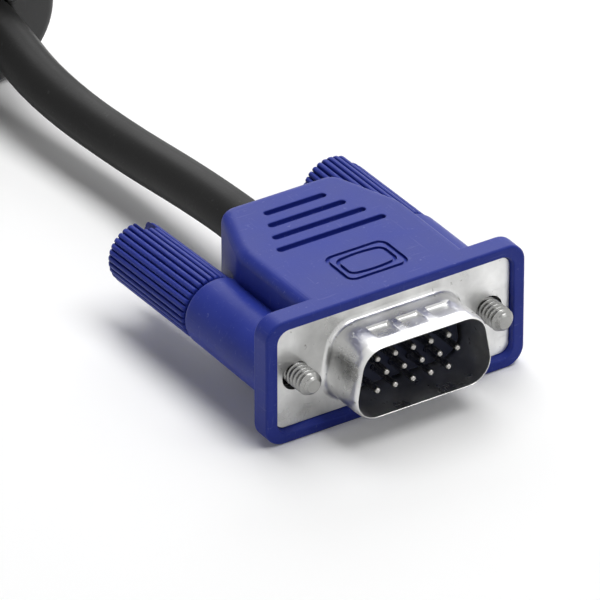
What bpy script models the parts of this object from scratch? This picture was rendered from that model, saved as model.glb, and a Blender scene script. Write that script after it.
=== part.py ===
# Video cable with a 15-pin plug and two thumbscrews at each end, a ferrite sleeve and its
# spare length folded in a tied hank. Metres, +Z up; the near plug mates toward -Y.
import math

import bmesh
import bpy
from mathutils import Matrix, Vector

mm = 0.001

# Fits
gap = 0.3 * mm  # between pieces that touch on the real plug
runFit = 0.08 * mm  # screw in its retaining ring and its knob, contact in its hole
ringPlay = 0.1 * mm  # ring in the screw's neck, at each face

# Standard face of the plug: the screw line and the front of the metal plate are its zero
screwSpacing = 24.99 * mm
shellWidth = 16.92 * mm  # inside, at its widest
shellHeight = 8.36 * mm  # inside
shellSlope = math.radians(10)
shellCorner = 2.6 * mm
shellWall = 0.4 * mm
shellReach = 6.2 * mm  # in front of the plate
shellRoot = 0.6 * mm  # flare where the shell meets its plate
plateEnd = 2.6 * mm  # beyond each screw's axis
plateEdge = 1.67 * mm  # above and below the shell
plateCorner = 1.4 * mm
plateThick = 0.5 * mm
plateHole = 1.7 * mm  # radius
dimplePitch = 3.8 * mm
dimpleShift = 0.3 * mm  # of the middle one
dimpleWidth = 2.8 * mm
dimpleStart = 2.0 * mm  # from the plate
dimpleLength = 2.6 * mm
dimpleDepth = 0.22 * mm

# Contacts
pinPitch = 2.29 * mm
rowPitch = 1.98 * mm
rowShift = 1.145 * mm
rowStart = -5.05 * mm  # first pin of the top and bottom rows
pinsInRow = 5
pinRadius = 0.38 * mm
pinReach = 4.95 * mm
pinTail = 1.5 * mm  # behind the insulator
insulatorStep = 0.4 * mm  # its face in front of the plate
insulatorDepth = 7.3 * mm
rearShellDepth = 7.5 * mm

# Moulded hood
frameSide = 1.3 * mm  # width of the frame's front face beside the plate
frameTop = 1.15 * mm  # and above it
frameLip = 0.75 * mm  # in front of the plate
frameBack = 1.9 * mm
frameCorner = 2.3 * mm
bodyInset = 1.9 * mm  # of the body's side from the screw's axis
bodyRearWidth = 14.8 * mm
taperStart = 14.6 * mm
bodyBack = 23.4 * mm
bodyEdge = 1.4 * mm
collarRadius = 5.5 * mm
collarBack = 25.8 * mm
bossRadius = 4.05 * mm
bossBack = 16.3 * mm
knobRoom = 0.45 * mm  # between the knob and the hollow for it in the body's side
grooveCount = 4
grooveBack = 19.45 * mm
groovePitch = 2.4 * mm
grooveLength = 7.5 * mm  # the rearmost, and each next one is longer
grooveGrowth = 2.0 * mm
grooveWidth = 0.9 * mm
grooveDepth = 0.5 * mm
signWidth = 7.1 * mm
signLength = 5.1 * mm
signBack = 5.25 * mm
signLine = 0.18 * mm  # radius of the engraved line
screenWidth = 5.6 * mm
screenLength = 2.9 * mm

# Thumbscrews
threadRadius = 1.42 * mm
threadReach = 3.3 * mm  # in front of the plate
neckRadius = 1.1 * mm  # the groove that holds the retaining ring
ringRadius = 2.3 * mm
ringThick = 0.8 * mm
screwTravel = 3.5 * mm
knobRadius = 3.86 * mm
knobRearRadius = 3.74 * mm
knobLength = 15.5 * mm
knobFlutes = 28
fluteDepth = 0.32 * mm
slotWidth = 1.8 * mm
slotDepth = 2.3 * mm
slotTurns = {
    "left_near": math.radians(12),
    "right_near": math.radians(40),
    "left_far": math.radians(75),
    "right_far": math.radians(-25),
}
shankInKnob = 9.5 * mm

# Cable and what is on it
cableDiameter = 5.7 * mm
cableLength = 1500 * mm
ferriteRadius = 9.0 * mm
ferriteLength = 28 * mm
ferriteFront = Vector((-0.95 * mm, 69.25 * mm, ferriteRadius))
ferriteEdge = 1.3 * mm
foldRadius = 3 * cableDiameter
hankTurns = 6
hankCentre = -9.5 * mm
hankNear = 120 * mm
strapWidth = 8 * mm
strapThick = 1.0 * mm
strapCorner = 0.5 * mm  # inside
strapFromFold = 12 * mm
farPlugBack = 45 * mm  # from the far fold to the back of the far plug's collar
farPlugShift = -8 * mm  # from the middle of the hank

# Worked out from the sizes above
plateWidth = screwSpacing + 2 * plateEnd
plateHeight = shellHeight + 2 * (shellWall + plateEdge)
frameWidth = plateWidth + 2 * (gap + frameSide)
frameHeight = plateHeight + 2 * (gap + frameTop)
bodyWidth = screwSpacing - 2 * bodyInset
plateBack = plateThick
rearPlateFront = plateBack + gap
rearPlateBack = rearPlateFront + plateThick
recessBack = rearPlateBack + gap
nearOrigin = Vector((0, -(bossBack + gap + knobLength - shellReach) / 2, frameHeight / 2))
cableRadius = cableDiameter / 2
hankBottom = strapThick + gap
hankHeight = 3 * cableDiameter
hankOuter = foldRadius + cableDiameter
hankFoldNear = hankNear + hankOuter + cableRadius
hankTop = hankBottom + hankHeight

# The cable's own route between the plug and the hank, through its ferrite sleeve
nearRoute = [
    Vector((0, nearOrigin.y + collarBack + gap, nearOrigin.z)),
    Vector((0, nearOrigin.y + collarBack + 6 * mm, nearOrigin.z)),
    Vector((-0.1, 28.0, 7.1)) * mm,
    Vector((-0.55, 40.0, 6.2)) * mm,
    Vector((-1.25, 50.0, 6.3)) * mm,
    Vector((-1.6, 57.5, 7.1)) * mm,
    Vector((-1.35, 63.5, 8.2)) * mm,
    ferriteFront + Vector((0, 0.5, 0)) * mm,
    ferriteFront + Vector((0, 4.0, 0)) * mm,
    ferriteFront + Vector((0, 14.0, 0)) * mm,
    ferriteFront + Vector((0, 24.0, 0)) * mm,
    ferriteFront + Vector((0, 31.0, 0)) * mm,
    Vector((-0.2, 106.5, 8.1)) * mm,
    Vector((1.9, 113.5, 6.4)) * mm,
    Vector((5.3, 120.5, 4.9)) * mm,
    Vector((9.4, 128.0, 4.3)) * mm,
    Vector((12.4 * mm, 136.0 * mm, hankBottom + cableRadius)),
    Vector((hankCentre + hankOuter, hankFoldNear, hankBottom + cableRadius)),
]
routeSpacing = 2 * cableDiameter


def clearScene():
    for obj in list(bpy.data.objects):
        bpy.data.objects.remove(obj)


def material(name, color, roughness, metallic=0.0):
    mat = bpy.data.materials.new(name)
    mat.use_nodes = True
    shader = mat.node_tree.nodes["Principled BSDF"]
    shader.inputs["Base Color"].default_value = (*color, 1)
    shader.inputs["Roughness"].default_value = roughness
    shader.inputs["Metallic"].default_value = metallic
    return mat


def baked(obj):
    """The mesh that the object shows, with its modifiers applied; the object goes."""
    view = bpy.context.evaluated_depsgraph_get()
    mesh = bpy.data.meshes.new_from_object(obj.evaluated_get(view))
    mesh.transform(obj.matrix_world)
    bpy.data.objects.remove(obj)
    bm = bmesh.new()
    bm.from_mesh(mesh)
    bmesh.ops.remove_doubles(bm, verts=bm.verts, dist=1e-7)
    bmesh.ops.recalc_face_normals(bm, faces=bm.faces)
    bm.to_mesh(mesh)
    bm.free()
    return mesh


def working(name, data):
    obj = bpy.data.objects.new(name, data)
    bpy.context.scene.collection.objects.link(obj)
    return obj


def slab(outlines, thick, matrix):
    """A flat outline, with holes if more outlines follow, drawn in XY and extruded along Z."""
    curve = bpy.data.curves.new("outline", "CURVE")
    curve.dimensions = "2D"
    curve.fill_mode = "BOTH"
    curve.extrude = thick / 2
    for outline in outlines:
        spline = curve.splines.new("POLY")
        spline.points.add(len(outline) - 1)
        for point, (x, y) in zip(spline.points, outline):
            point.co = (x, y, 0, 1)
        spline.use_cyclic_u = True
    obj = working("outline", curve)
    obj.matrix_world = matrix
    bpy.context.view_layer.update()
    return working("slab", baked(obj))


def slabAlongY(outlines, front, back):
    """Outlines in X and Z, from the front depth to the back one."""
    place = Matrix.Translation((0, (front + back) / 2, 0)) @ Matrix.Rotation(math.pi / 2, 4, "X")
    return slab(outlines, back - front, place)


def slabAlongZ(outlines, low, high):
    return slab(outlines, high - low, Matrix.Translation((0, 0, (low + high) / 2)))


def arc(centre, radius, start, end, steps):
    turn = [start + (end - start) * i / steps for i in range(steps + 1)]
    return [(centre[0] + radius * math.cos(a), centre[1] + radius * math.sin(a)) for a in turn]


def roundedBox(width, height, radius, steps=6):
    x, z = width / 2 - radius, height / 2 - radius
    corners = ((x, z), (-x, z), (-x, -z), (x, -z))
    outline = []
    for i, corner in enumerate(corners):
        outline += arc(corner, radius, i * math.pi / 2, (i + 1) * math.pi / 2, steps)
    return outline


def dOutline(grow, steps=6):
    """The plug's D, wide at the bottom, grown outward from the inside of its shell."""
    radius = shellCorner + grow
    foot = shellWidth / 2 + grow - radius
    low = -shellHeight / 2 - grow + radius
    high = shellHeight / 2 + grow - radius
    head = foot - (high - low) * math.tan(shellSlope)
    side = shellSlope
    outline = arc((head, high), radius, side, math.pi / 2, steps)
    outline += arc((-head, high), radius, math.pi / 2, math.pi - side, steps)
    outline += arc((-foot, low), radius, math.pi - side, 1.5 * math.pi, steps)
    outline += arc((foot, low), radius, -math.pi / 2, side, steps)
    return outline


def circle(x, z, radius, sides):
    return arc((x, z), radius, 0, 2 * math.pi * (sides - 1) / sides, sides - 1)


def turned(profile, sides):
    """A profile of (radius, y) pairs, from front to back, turned about the Y axis."""
    mesh = bpy.data.meshes.new("profile")
    mesh.from_pydata(
        [(radius, 0, -y) for radius, y in profile],
        [(i, i + 1) for i in range(len(profile) - 1)],
        [],
    )
    obj = working("turned", mesh)
    screw = obj.modifiers.new("turn", "SCREW")
    screw.steps = sides
    screw.render_steps = sides
    screw.use_merge_vertices = True
    screw.merge_threshold = 1e-7
    obj.rotation_euler = (math.pi / 2, 0, 0)
    bpy.context.view_layer.update()
    return working("turned", baked(obj))


def combine(target, other, operation):
    boolean = target.modifiers.new(operation.lower(), "BOOLEAN")
    boolean.operation = operation
    boolean.object = other
    result = working("result", baked(target))
    bpy.data.objects.remove(other)
    return result


def cut(target, cutter):
    return combine(target, cutter, "DIFFERENCE")


def fuse(target, other):
    return combine(target, other, "UNION")


def moved(obj, x=0.0, y=0.0, z=0.0):
    obj.data.transform(Matrix.Translation((x, y, z)))
    return obj


def beveled(obj, width, segments, angle=math.radians(30)):
    bevel = obj.modifiers.new("edges", "BEVEL")
    bevel.width = width
    bevel.segments = segments
    bevel.limit_method = "ANGLE"
    bevel.angle_limit = angle
    return working("result", baked(obj))


def smoothed(mesh, angle=math.radians(35)):
    mesh.shade_smooth()
    mesh.set_sharp_from_angle(angle=angle)
    return mesh


def smoothPath(points, spacing):
    """Points at an even distance on a smooth curve through the route's points."""
    ends = [2 * points[0] - points[1], *points, 2 * points[-1] - points[-2]]
    fine = []
    for a, b, c, d in zip(ends, ends[1:], ends[2:], ends[3:]):
        for i in range(24):
            t = i / 24
            fine.append(
                0.5 * (2 * b + (c - a) * t + (2 * a - 5 * b + 4 * c - d) * t**2 + (3 * b - a - 3 * c + d) * t**3)
            )
    fine.append(points[-1])
    return evenly(fine, spacing)


def evenly(fine, spacing):
    total = pathLength(fine)
    count = max(2, round(total / spacing))
    step = total / count
    path, run, target = [fine[0]], 0.0, step
    for a, b in zip(fine, fine[1:]):
        length = (b - a).length
        while length > 0 and run + length >= target and len(path) < count:
            path.append(a.lerp(b, (target - run) / length))
            target += step
        run += length
    path.append(fine[-1])
    return path


def pathLength(path):
    return sum((b - a).length for a, b in zip(path, path[1:]))


# Pieces of one plug, each a mesh in the plug's own frame


def frontShell():
    outer, inner = dOutline(shellWall), dOutline(0)
    plate = slabAlongY([roundedBox(plateWidth, plateHeight, plateCorner)], 0, plateThick)
    wall = slabAlongY([outer], -shellReach, plateThick / 2)
    root = beveled(slabAlongY([dOutline(shellWall + shellRoot)], -shellRoot, plateThick / 2), shellRoot * 0.9, 2)
    shell = fuse(fuse(plate, root), wall)
    shell = cut(shell, slabAlongY([inner], -2 * shellReach, 2 * plateThick))
    for side in (-1, 1):
        hole = slabAlongY([circle(side * screwSpacing / 2, 0, plateHole, 24)], -plateThick, 2 * plateThick)
        shell = cut(shell, hole)
    for place in (-1, 0, 1):
        shell = cut(shell, dimple(place * dimplePitch + dimpleShift))
    return smoothed(baked(shell))


def dimple(x):
    """A wedge that is deepest toward the plate and runs out toward the mouth."""
    top = shellHeight / 2 + shellWall
    wedge = slab(
        [[(dimpleStart, 0), (dimpleStart + dimpleLength, dimpleDepth), (dimpleStart, dimpleDepth)]],
        dimpleWidth,
        Matrix.Identity(4),
    )
    # drawn with depth to the front along +X and height along +Y
    turn = Matrix(((0, 0, 1, x), (-1, 0, 0, 0), (0, 1, 0, top - dimpleDepth), (0, 0, 0, 1)))
    wedge.data.transform(turn)
    return grownUp(wedge, top)


def grownUp(obj, top):
    """Lifts the vertices at the top, so that a cutter passes through the surface it cuts."""
    for vertex in obj.data.vertices:
        if vertex.co.z > top - dimpleDepth / 2:
            vertex.co.z += dimpleDepth
    return obj


def rearShell():
    plate = slabAlongY([roundedBox(plateWidth, plateHeight, plateCorner)], rearPlateFront, rearPlateBack)
    cup = slabAlongY([dOutline(shellWall)], rearPlateFront + plateThick / 2, rearShellDepth)
    shell = cut(fuse(plate, cup), slabAlongY([dOutline(0)], 0, 2 * rearShellDepth))
    for side in (-1, 1):
        hole = slabAlongY([circle(side * screwSpacing / 2, 0, plateHole, 24)], 0, 2 * rearPlateBack)
        shell = cut(shell, hole)
    return smoothed(baked(shell))


def pinPlaces():
    """Every contact's number and place, the top row first."""
    places = []
    for row in range(3):
        shift = rowShift if row == 1 else 0
        for i in range(pinsInRow):
            places.append((rowStart + shift + i * pinPitch, (1 - row) * rowPitch))
    return places


def insulator():
    holes = [circle(x, z, pinRadius + runFit, 8) for x, z in pinPlaces()]
    block = slabAlongY([dOutline(-gap), *holes], -insulatorStep, insulatorDepth)
    return smoothed(baked(block))


def pin():
    tip = -pinReach
    profile = [
        (0, tip),
        (pinRadius * 0.6, tip + pinRadius * 0.2),
        (pinRadius, tip + pinRadius * 0.9),
        (pinRadius, insulatorDepth + pinTail),
        (0, insulatorDepth + pinTail),
    ]
    return smoothed(baked(turned(profile, 8)))


def ringBack():
    """The retaining ring's back face when the screw is pushed right in."""
    return recessBack + gap + ringThick


def hood():
    recess = [roundedBox(plateWidth + 2 * gap, plateHeight + 2 * gap, plateCorner + gap)]
    frame = slabAlongY([roundedBox(frameWidth, frameHeight, frameCorner)], -frameLip, frameBack)
    frame = beveled(frame, 0.35 * mm, 2)
    body = beveled(slabAlongZ([bodyOutline()], -frameHeight / 2, frameHeight / 2), bodyEdge, 3)
    shape = fuse(body, frame)
    for side in (-1, 1):
        boss = slabAlongY([circle(0, 0, bossRadius, 40)], frameBack / 2, bossBack)
        shape = fuse(shape, moved(beveled(boss, 0.5 * mm, 2), x=side * screwSpacing / 2))
    collar = slabAlongY([circle(0, 0, collarRadius, 32)], bodyBack - bodyEdge, collarBack)
    shape = fuse(shape, beveled(collar, 0.6 * mm, 2))
    shape = cut(shape, slabAlongY(recess, -2 * frameLip, recessBack))
    tails = insulatorDepth + pinTail + 3 * gap
    shape = cut(shape, slabAlongY([dOutline(shellWall + gap)], recessBack / 2, tails))
    for side in (-1, 1):
        shape = cut(shape, moved(screwBore(), x=side * screwSpacing / 2))
        channel = slabAlongY([circle(0, 0, knobRadius + knobRoom, 40)], bossBack, collarBack)
        shape = cut(shape, moved(channel, x=side * screwSpacing / 2))
    for i in range(grooveCount):
        shape = cut(shape, topGroove(grooveBack - i * groovePitch, grooveLength + i * grooveGrowth))
    for outline in signOutlines():
        shape = cut(shape, engraving(outline))
    return smoothed(baked(shape))


def bodyOutline():
    front, wide, rear = frameBack / 2, bodyWidth / 2, bodyRearWidth / 2
    right = [(wide, front), (wide, taperStart), (rear, bodyBack)]
    return right + [(-x, y) for x, y in reversed(right)]


def screwBore():
    """The ring's pocket and the screw's bore, along the screw's axis."""
    pocket = ringBack() + screwTravel + gap
    bore = threadRadius + gap
    wide = ringRadius + gap
    profile = [(0, recessBack / 2), (wide, recessBack / 2), (wide, pocket), (bore, pocket)]
    profile += [(bore, bossBack + gap), (0, bossBack + gap)]
    return turned(profile, 32)


def topGroove(y, length):
    reach = (length - grooveWidth) / 2
    outline = arc((reach, y), grooveWidth / 2, -math.pi / 2, math.pi / 2, 6)
    outline += arc((-reach, y), grooveWidth / 2, math.pi / 2, 1.5 * math.pi, 6)
    top = frameHeight / 2
    return slabAlongZ([outline], top - grooveDepth, top + grooveDepth)


def signOutlines():
    """A plain screen sign: a rounded box round a barrel-shaped screen."""
    box = [(x, y + signBack) for x, y in roundedBox(signWidth, signLength, 0.9 * mm, 3)]
    screen = []
    for x, y in roundedBox(screenWidth, screenLength, 0.7 * mm, 3):
        bulge = 0.25 * mm * (1 - (2 * x / screenWidth) ** 2)
        screen.append((x, y + math.copysign(bulge, y) + signBack))
    return [box, screen]


def engraving(outline):
    curve = bpy.data.curves.new("line", "CURVE")
    curve.dimensions = "3D"
    curve.bevel_depth = signLine
    curve.bevel_resolution = 0
    spline = curve.splines.new("POLY")
    spline.points.add(len(outline) - 1)
    for point, (x, y) in zip(spline.points, outline):
        point.co = (x, y, frameHeight / 2, 1)
    spline.use_cyclic_u = True
    return working("line", baked(working("line", curve)))


def screwShaft():
    knobFront = bossBack + gap
    profile = [
        (0, -threadReach),
        (threadRadius * 0.7, -threadReach),
        (threadRadius, -threadReach + 0.5 * mm),
        (threadRadius, ringBack() - ringThick - ringPlay),
        (neckRadius, ringBack() - ringThick - ringPlay),
        (neckRadius, ringBack() + ringPlay),
        (threadRadius, ringBack() + ringPlay),
        (threadRadius, knobFront + shankInKnob),
        (0, knobFront + shankInKnob),
    ]
    return smoothed(baked(turned(profile, 24)))


def retainingRing():
    ring = [circle(0, 0, ringRadius, 24), circle(0, 0, neckRadius + runFit, 24)]
    return smoothed(baked(slabAlongY(ring, ringBack() - ringThick, ringBack())))


def knob():
    front = bossBack + gap
    back = front + knobLength
    body = slabAlongY([flutedOutline()], front, back)
    for vertex in body.data.vertices:
        share = (vertex.co.y - front) / knobLength
        scale = 1 + share * (knobRearRadius / knobRadius - 1)
        vertex.co.x *= scale
        vertex.co.z *= scale
    bore = slabAlongY([circle(0, 0, threadRadius + runFit, 24)], front - gap, front + shankInKnob + gap)
    slot = slabAlongY([roundedBox(slotWidth, 3 * knobRadius, 0.2 * mm, 1)], back - slotDepth, back + slotDepth)
    return smoothed(baked(cut(cut(body, bore), slot)))


def flutedOutline():
    """Rounded ridges with a narrow groove between each two."""
    outline = []
    turn = 2 * math.pi / knobFlutes
    for i in range(knobFlutes):
        for share, depth in ((0, fluteDepth), (0.25, 0.03 * mm), (0.5, 0), (0.75, 0.03 * mm)):
            angle = (i + share) * turn
            radius = knobRadius - depth
            outline.append((radius * math.cos(angle), radius * math.sin(angle)))
    return outline


# Cable


def tubeObject(name, points, mat, collection):
    curve = bpy.data.curves.new(name, "CURVE")
    curve.dimensions = "3D"
    curve.bevel_depth = cableRadius
    curve.bevel_resolution = 3
    curve.use_fill_caps = True
    spline = curve.splines.new("POLY")
    spline.points.add(len(points) - 1)
    for point, place in zip(spline.points, points):
        point.co = (*place, 1)
    curve.materials.append(mat)
    obj = bpy.data.objects.new(name, curve)
    collection.objects.link(obj)
    return obj


def farCollar(foldFar):
    """Where the cable enters the far plug, which lies on the hank."""
    return Vector((hankCentre + farPlugShift, foldFar - farPlugBack, hankTop + gap + frameHeight / 2))


def farRoute(foldFar):
    """Round half of the last fold, on top of the hank, and over the strap to the far plug's collar."""
    collar = farCollar(foldFar)
    low = hankTop + gap + cableRadius
    high = low + gap + strapThick
    route = []
    for turn in (90, 112, 135, 157):
        angle = math.radians(turn)
        rise = (high - low) * (turn - 90) / 90
        x, y = foldRadius * math.cos(angle), foldRadius * math.sin(angle)
        route.append(Vector((hankCentre + x, foldFar + y, low + rise)))
    side = hankCentre - foldRadius
    for along, across in ((0, 0), (0.2, 0.01), (0.35, 0.16), (0.5, 0.5), (0.65, 0.86), (0.8, 1), (1, 1)):
        x = side + (collar.x - side) * across
        route.append(Vector((x, foldFar - farPlugBack * along, high + (collar.z - high) * across)))
    return route


def hankSizes():
    """The straight run's length that gives the cable its full length, and the far fold's place."""
    ends = pathLength(smoothPath(nearRoute, routeSpacing)) + pathLength(smoothPath(farRoute(0), routeSpacing))
    folds = hankTurns / 2 * 2 * math.pi * (2 * foldRadius + cableDiameter)
    lastQuarter = math.pi / 2 * foldRadius
    run = (cableLength - ends - folds - lastQuarter) / (2 * hankTurns + 1)
    return run, hankFoldNear + run


def clearOfHank(points):
    """The stretch of the near route that stops where the tube's end would touch the hank's solid."""
    centre = Vector((hankCentre, hankFoldNear, 0))
    fine = smoothPath(points, cableRadius / 12)
    kept = []
    for here, ahead in zip(fine, fine[1:]):
        away = (here - centre).xy
        across = abs((ahead - here).xy.normalized().cross(away.normalized()))
        if away.length - across * cableRadius < hankOuter + cableRadius + gap:
            break
        kept.append(here)
    return evenly(kept, routeSpacing)


def stadium(halfWidth, near, far, steps=16):
    outline = arc((hankCentre, far), halfWidth, 0, math.pi, steps)
    return outline + arc((hankCentre, near), halfWidth, math.pi, 2 * math.pi, steps)


def hankSolid(foldFar):
    outer = stadium(hankOuter + cableRadius, hankFoldNear, foldFar)
    inner = stadium(foldRadius - cableRadius, hankFoldNear, foldFar)
    return smoothed(baked(slabAlongZ([outer, inner], hankBottom, hankTop)))


def strap(foldFar):
    """A flat strap round the whole hank."""
    width = 2 * (hankOuter + cableRadius + gap)
    height = hankHeight + 2 * gap
    outline = [
        roundedBox(width + 2 * strapThick, height + 2 * strapThick, strapCorner + strapThick),
        roundedBox(width, height, strapCorner),
    ]
    middle = foldFar - strapFromFold
    ring = slabAlongY(outline, middle - strapWidth / 2, middle + strapWidth / 2)
    return smoothed(baked(moved(ring, x=hankCentre, z=hankBottom + hankHeight / 2)))


def ferrite():
    bore = cableRadius + gap
    outer = ferriteRadius
    back = ferriteLength
    edge = ferriteEdge
    profile = [(bore, 0), (outer - edge, 0), (outer - 0.3 * edge, 0.3 * edge), (outer, edge)]
    profile += [(outer, back - edge), (outer - 0.3 * edge, back - 0.3 * edge), (outer - edge, back), (bore, back)]
    profile.append(profile[0])
    return smoothed(baked(turned(profile, 40)))


def plugRoot(name, place):
    root = bpy.data.objects.new(name, None)
    root.location = place
    bpy.context.scene.collection.objects.link(root)
    return root


def buildPlug(end, root, meshes, mats, collection):
    def put(name, mesh, slot, x=0.0, z=0.0, turn=0.0):
        obj = bpy.data.objects.new(name, mesh)
        obj.location = (x, 0, z)
        obj.rotation_euler = (0, turn, 0)
        obj.parent = root
        collection.objects.link(obj)
        if not mesh.materials:
            mesh.materials.append(mats[slot])

    put(f"hood_{end}", meshes["hood"], "hood_plastic")
    put(f"front_shell_{end}", meshes["frontShell"], "plated_shell")
    put(f"rear_shell_{end}", meshes["rearShell"], "plated_shell")
    put(f"insulator_{end}", meshes["insulator"], "insulator_plastic")
    for number, (x, z) in enumerate(pinPlaces(), 1):
        put(f"pin_{number:02d}_{end}", meshes["pin"], "pin_metal", x, z)
    for side, sign in (("left", -1), ("right", 1)):
        x = sign * screwSpacing / 2
        put(f"jackscrew_{side}_{end}", meshes["screwShaft"], "screw_steel", x)
        put(f"retaining_ring_{side}_{end}", meshes["ring"], "screw_steel", x)
        turn = slotTurns[f"{side}_{end}"]
        put(f"thumb_knob_{side}_{end}", meshes["knob"], "hood_plastic", x, turn=turn)


def main():
    clearScene()
    collection = bpy.data.collections.new("video_cable")
    bpy.context.scene.collection.children.link(collection)
    mats = {
        "hood_plastic": material("hood_plastic", (0.045, 0.06, 0.30), 0.5),
        "plated_shell": material("plated_shell", (0.72, 0.72, 0.70), 0.3, 1.0),
        "insulator_plastic": material("insulator_plastic", (0.012, 0.016, 0.04), 0.55),
        "pin_metal": material("pin_metal", (0.75, 0.73, 0.68), 0.3, 1.0),
        "screw_steel": material("screw_steel", (0.6, 0.6, 0.58), 0.35, 1.0),
        "cable_jacket": material("cable_jacket", (0.02, 0.02, 0.02), 0.6),
        "strap_fabric": material("strap_fabric", (0.02, 0.02, 0.02), 0.9),
    }
    meshes = {
        "hood": hood(),
        "frontShell": frontShell(),
        "rearShell": rearShell(),
        "insulator": insulator(),
        "pin": pin(),
        "screwShaft": screwShaft(),
        "ring": retainingRing(),
        "knob": knob(),
    }
    run, foldFar = hankSizes()
    farOrigin = farCollar(foldFar) - Vector((0, collarBack + gap, 0))
    buildPlug("near", plugRoot("near_plug", nearOrigin), meshes, mats, collection)
    buildPlug("far", plugRoot("far_plug", farOrigin), meshes, mats, collection)

    tubeObject("cable_near", clearOfHank(nearRoute), mats["cable_jacket"], collection)
    last = smoothPath(farRoute(foldFar), routeSpacing / 2)
    tubeObject("cable_far", last, mats["cable_jacket"], collection)
    for name, mesh, slot, place in (
        ("cable_hank", hankSolid(foldFar), "cable_jacket", Vector()),
        ("hank_strap", strap(foldFar), "strap_fabric", Vector()),
        ("ferrite_sleeve", ferrite(), "cable_jacket", ferriteFront),
    ):
        mesh.materials.append(mats[slot])
        obj = bpy.data.objects.new(name, mesh)
        obj.location = place
        collection.objects.link(obj)
    for obj in list(bpy.context.scene.collection.objects):
        if obj.type != "EMPTY":
            bpy.data.objects.remove(obj)
    print(f"hank run {run:.4f} m, far fold at {foldFar:.4f} m, far plug at {farOrigin.y:.4f} m")


main()
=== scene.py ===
import math

import bmesh
import bpy
from mathutils import Matrix, Vector


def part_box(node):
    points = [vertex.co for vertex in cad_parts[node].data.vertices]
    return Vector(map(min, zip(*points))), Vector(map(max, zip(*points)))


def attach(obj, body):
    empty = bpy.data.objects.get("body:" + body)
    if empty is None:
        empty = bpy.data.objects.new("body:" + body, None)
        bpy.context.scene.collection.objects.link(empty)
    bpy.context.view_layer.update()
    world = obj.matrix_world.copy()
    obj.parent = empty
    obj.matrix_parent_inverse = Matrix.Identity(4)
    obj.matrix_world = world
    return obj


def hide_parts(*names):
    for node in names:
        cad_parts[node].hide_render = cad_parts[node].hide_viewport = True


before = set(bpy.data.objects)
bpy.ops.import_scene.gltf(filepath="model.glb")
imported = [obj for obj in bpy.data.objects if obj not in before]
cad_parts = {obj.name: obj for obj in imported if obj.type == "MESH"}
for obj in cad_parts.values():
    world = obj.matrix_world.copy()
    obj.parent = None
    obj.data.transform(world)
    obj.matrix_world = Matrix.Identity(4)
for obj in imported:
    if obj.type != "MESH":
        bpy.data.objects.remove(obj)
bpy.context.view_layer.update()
mm = 0.001

# The camera and the cable come first.
view = {
    "place": (-0.45857, -0.70325, 0.51507),
    "target": (-0.00714, -0.00551, 0.01161),
    "lens": 540,
}


def addCamera():
    data = bpy.data.cameras.new("camera")
    data.lens = view["lens"]
    data.sensor_width = 36
    data.clip_start = 0.05
    camera = bpy.data.objects.new("camera", data)
    camera.location = view["place"]
    aim = Vector(view["target"]) - camera.location
    camera.rotation_euler = aim.to_track_quat("-Z", "Y").to_euler()
    bpy.context.scene.collection.objects.link(camera)
    bpy.context.scene.camera = camera


addCamera()
print("camera ready")

# Where the near plug's own zero lies: between its screws, on the front of its metal plate.
# Each plug is modelled in millimetres from that zero, mating towards -Y.
nearPlug = Vector((0, -12.95, 7.7))
farPlug = Vector((-17.5, 113.937, 26.4))

cable = {
    "diameter": 5.7,
    "length": 1500,
    "collarBack": 25.8,     # behind the plug's zero
    "intoCollar": 0.8,
    "sleeveFront": Vector((-0.95, 69.25, 9.0)),
    "hankMiddle": -9.5,
    "foldRadius": 17.1,
    "turns": 6,
    "moveOver": (0.585, 0.067, 0.2),  # share of the last lap, how much later in each before, and how long
    "overStrap": (1.6, 12, 26),       # rise of the top pass, its peak from the far fold, and its reach
    "spacing": 2.4,
    "sides": 4,             # bevel resolution
}


def smoothPath(points, spacing):
    # An even walk along a smooth curve through the points.
    ends = [2 * points[0] - points[1], *points, 2 * points[-1] - points[-2]]
    fine = []
    for a, b, c, d in zip(ends, ends[1:], ends[2:], ends[3:]):
        for i in range(20):
            t = i / 20
            square, cube = 2 * a - 5 * b + 4 * c - d, 3 * b - a - 3 * c + d
            fine.append(0.5 * (2 * b + (c - a) * t + square * t**2 + cube * t**3))
    fine.append(points[-1])
    total = sum((b - a).length for a, b in zip(fine, fine[1:]))
    count = round(total / spacing)
    step, run, path = total / count, 0.0, [fine[0]]
    for a, b in zip(fine, fine[1:]):
        length = (b - a).length
        while length > 0 and run + length >= len(path) * step and len(path) < count:
            path.append(a.lerp(b, (len(path) * step - run) / length))
        run += length
    return path + [fine[-1]]


def ease(t):
    t = min(max(t, 0.0), 1.0)
    return t - math.sin(2 * math.pi * t) / (2 * math.pi)


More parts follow.
